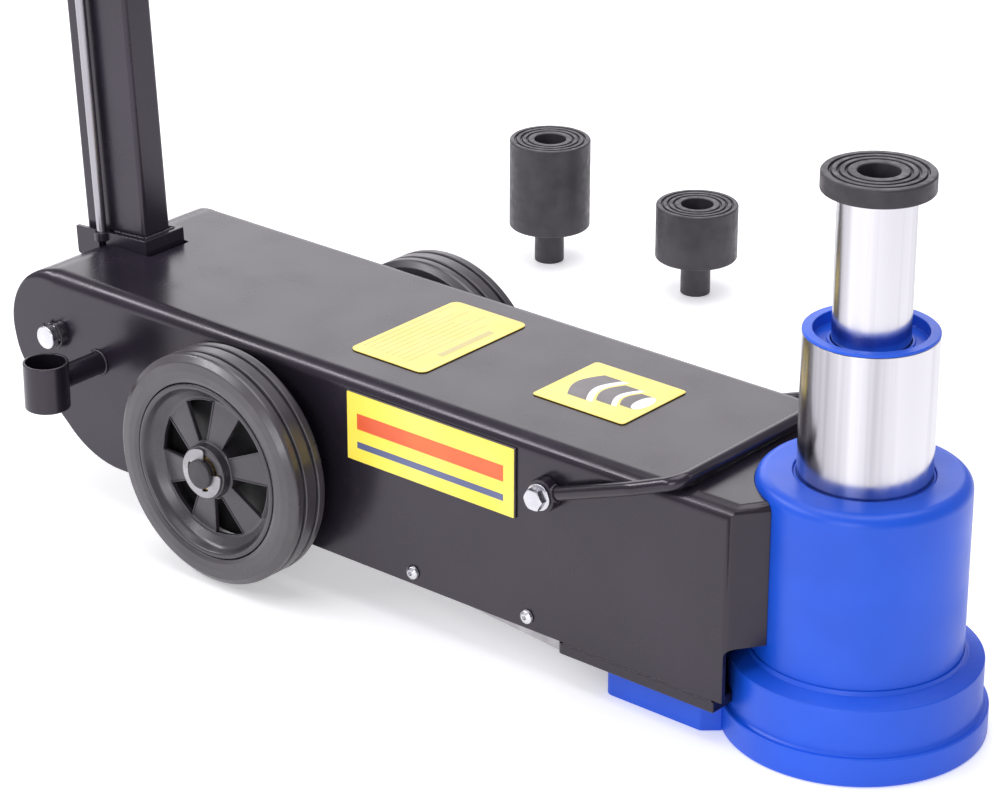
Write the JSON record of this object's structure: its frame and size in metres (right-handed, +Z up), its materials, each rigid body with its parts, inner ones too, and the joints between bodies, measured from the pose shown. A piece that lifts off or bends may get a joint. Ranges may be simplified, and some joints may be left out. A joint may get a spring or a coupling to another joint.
{
  "type": "air-hydraulic jack",
  "caption": "Telescopic air-hydraulic floor jack with a wheeled sheet-steel body, upright folding handle, carrying bail and loose extension adapters.",
  "frame": {"origin": "on the floor, at the centre of the base casting's foot, under the ram axis", "axes": "+X from the handle towards the rams, +Y to the jack's left side, +Z up along the rams"},
  "size_m": [0.8241, 0.6741, 0.9798],
  "materials": {
    "black_paint": "glossy black enamel",
    "blue_paint": "glossy blue enamel",
    "chrome": "hard chrome, polished",
    "steel": "machined steel, oiled",
    "zinc": "bright zinc plating",
    "brass": "machined brass",
    "aluminium": "machined aluminium",
    "seal_rubber": "matte black rubber",
    "black_oxide": "matte black oxide on steel",
    "grey_tyre": "satin dark grey rubber",
    "rim_plastic": "satin dark grey moulding",
    "black_plastic": "satin black moulding",
    "yellow_label": "satin yellow film"
  },
  "bodies": {
    "jack_body": {"base_casting": "blue_paint", "outer_cylinder": "blue_paint", "inner_cylinder": "steel", "cylinder_wiper": "blue_paint", "body_shell": "black_paint", "base_plate": "black_paint", "bottom_cover": "zinc", "cover_screw_1": "zinc", "cover_screw_2": "zinc", "cover_screw_3": "zinc", "cover_screw_4": "zinc", "holder_cup": "black_paint", "top_label_large": "yellow_label", "top_label_small": "yellow_label", "side_label_plate": "yellow_label", "axle": "black_oxide", "wheel_clip_right": "zinc", "wheel_clip_left": "zinc", "bail_bolt_right": "zinc", "bail_bolt_left": "zinc", "rear_pin": "zinc", "rear_pin_clip_right": "black_oxide", "rear_pin_clip_left": "black_oxide", "pin_spacer_right": "steel", "pin_spacer_left": "steel", "air_cylinder": "aluminium", "air_cylinder_cap": "aluminium", "pump_block": "steel", "oil_pipe": "steel"},
    "stage_one": {"ram_one": "chrome", "ram_one_piston": "steel", "ram_one_seal": "seal_rubber", "ram_one_nut": "blue_paint"},
    "stage_two": {"ram_two": "chrome", "ram_two_piston": "steel", "ram_two_seal": "seal_rubber"},
    "saddle": {"saddle": "black_oxide"},
    "wheel_right": {"tyre_right": "grey_tyre", "rim_right": "rim_plastic", "wheel_bush_right": "brass"},
    "wheel_left": {"tyre_left": "grey_tyre", "rim_left": "rim_plastic", "wheel_bush_left": "brass"},
    "bail": {"bail": "black_paint"},
    "handle": {"handle_bracket": "black_paint", "handle_post": "black_paint", "rod_guide": "black_paint", "handle_head": "black_plastic", "grip_bar": "steel", "grip_right": "seal_rubber", "grip_left": "seal_rubber", "air_inlet_nipple": "brass"},
    "lock_rod": {"lock_rod": "chrome", "lock_rod_knob": "black_plastic"},
    "release_lever": {"release_lever": "zinc"},
    "lift_lever": {"lift_lever": "zinc"},
    "release_spindle": {"release_spindle": "zinc"},
    "air_piston": {"air_piston": "aluminium"},
    "adapter_tall": {"extension_adapter_tall": "black_oxide"},
    "adapter_short": {"extension_adapter_short": "black_oxide"}
  },
  "joints": [
    {"name": "stage_one_lift", "type": "slide", "parent": "jack_body", "child": "stage_one", "axis": [0, 0, 1], "range_m": [-0.091, 0]},
    {"name": "stage_two_lift", "type": "slide", "parent": "stage_one", "child": "stage_two", "axis": [0, 0, 1], "range_m": [-0.086, 0]},
    {"name": "saddle_swivel", "type": "hinge", "parent": "stage_two", "child": "saddle", "pos_m": [0, 0, 0.355], "axis": [0, 0, 1], "continuous": true},
    {"name": "wheel_right_roll", "type": "hinge", "parent": "jack_body", "child": "wheel_right", "pos_m": [-0.4312, -0.1086, 0.0831], "axis": [0, 1, 0], "continuous": true},
    {"name": "wheel_left_roll", "type": "hinge", "parent": "jack_body", "child": "wheel_left", "pos_m": [-0.4312, 0.1086, 0.0831], "axis": [0, 1, 0], "continuous": true},
    {"name": "bail_swing", "type": "hinge", "parent": "jack_body", "child": "bail", "pos_m": [-0.176, 0, 0.1318], "axis": [0, -1, 0], "range_deg": [0, 105]},
    {"name": "handle_fold", "type": "hinge", "parent": "jack_body", "child": "handle", "pos_m": [-0.614, 0, 0.118], "axis": [0, -1, 0], "range_deg": [0, 84]},
    {"name": "lock_rod_lift", "type": "slide", "parent": "handle", "child": "lock_rod", "axis": [-0.0663, 0, 0.9978], "range_m": [0, 0.01], "stiffness_N_per_m": 400, "springref_m": -0.01},
    {"name": "release_lever_pull", "type": "hinge", "parent": "handle", "child": "release_lever", "pos_m": [-0.67453, -0.0285, 0.92677], "axis": [-0.9978, 0, -0.0663], "range_deg": [0, 12], "stiffness_Nm_per_rad": 1.5, "springref_deg": -8.59},
    {"name": "lift_lever_pull", "type": "hinge", "parent": "handle", "child": "lift_lever", "pos_m": [-0.67453, 0.0285, 0.92677], "axis": [0.9978, 0, 0.0663], "range_deg": [0, 12], "stiffness_Nm_per_rad": 1.5, "springref_deg": -8.59},
    {"name": "release_spindle_turn", "type": "hinge", "parent": "jack_body", "child": "release_spindle", "pos_m": [-0.217, 0.04, 0.114], "axis": [0, 1, 0], "range_deg": [0, 30]},
    {"name": "air_piston_stroke", "type": "slide", "parent": "jack_body", "child": "air_piston", "axis": [1, 0, 0], "range_m": [0, 0.03], "stiffness_N_per_m": 800, "springref_m": -0.02},
    {"name": "adapter_tall_lift", "type": "slide", "parent": "jack_body", "child": "adapter_tall", "axis": [0, 0, 1], "range_m": [0, 0.12]},
    {"name": "adapter_short_lift", "type": "slide", "parent": "jack_body", "child": "adapter_short", "axis": [0, 0, 1], "range_m": [0, 0.12]}
  ],
  "couplings": [
    {"joint": "release_spindle_turn", "follows": "release_lever_pull", "ratio": 2}
  ]
}
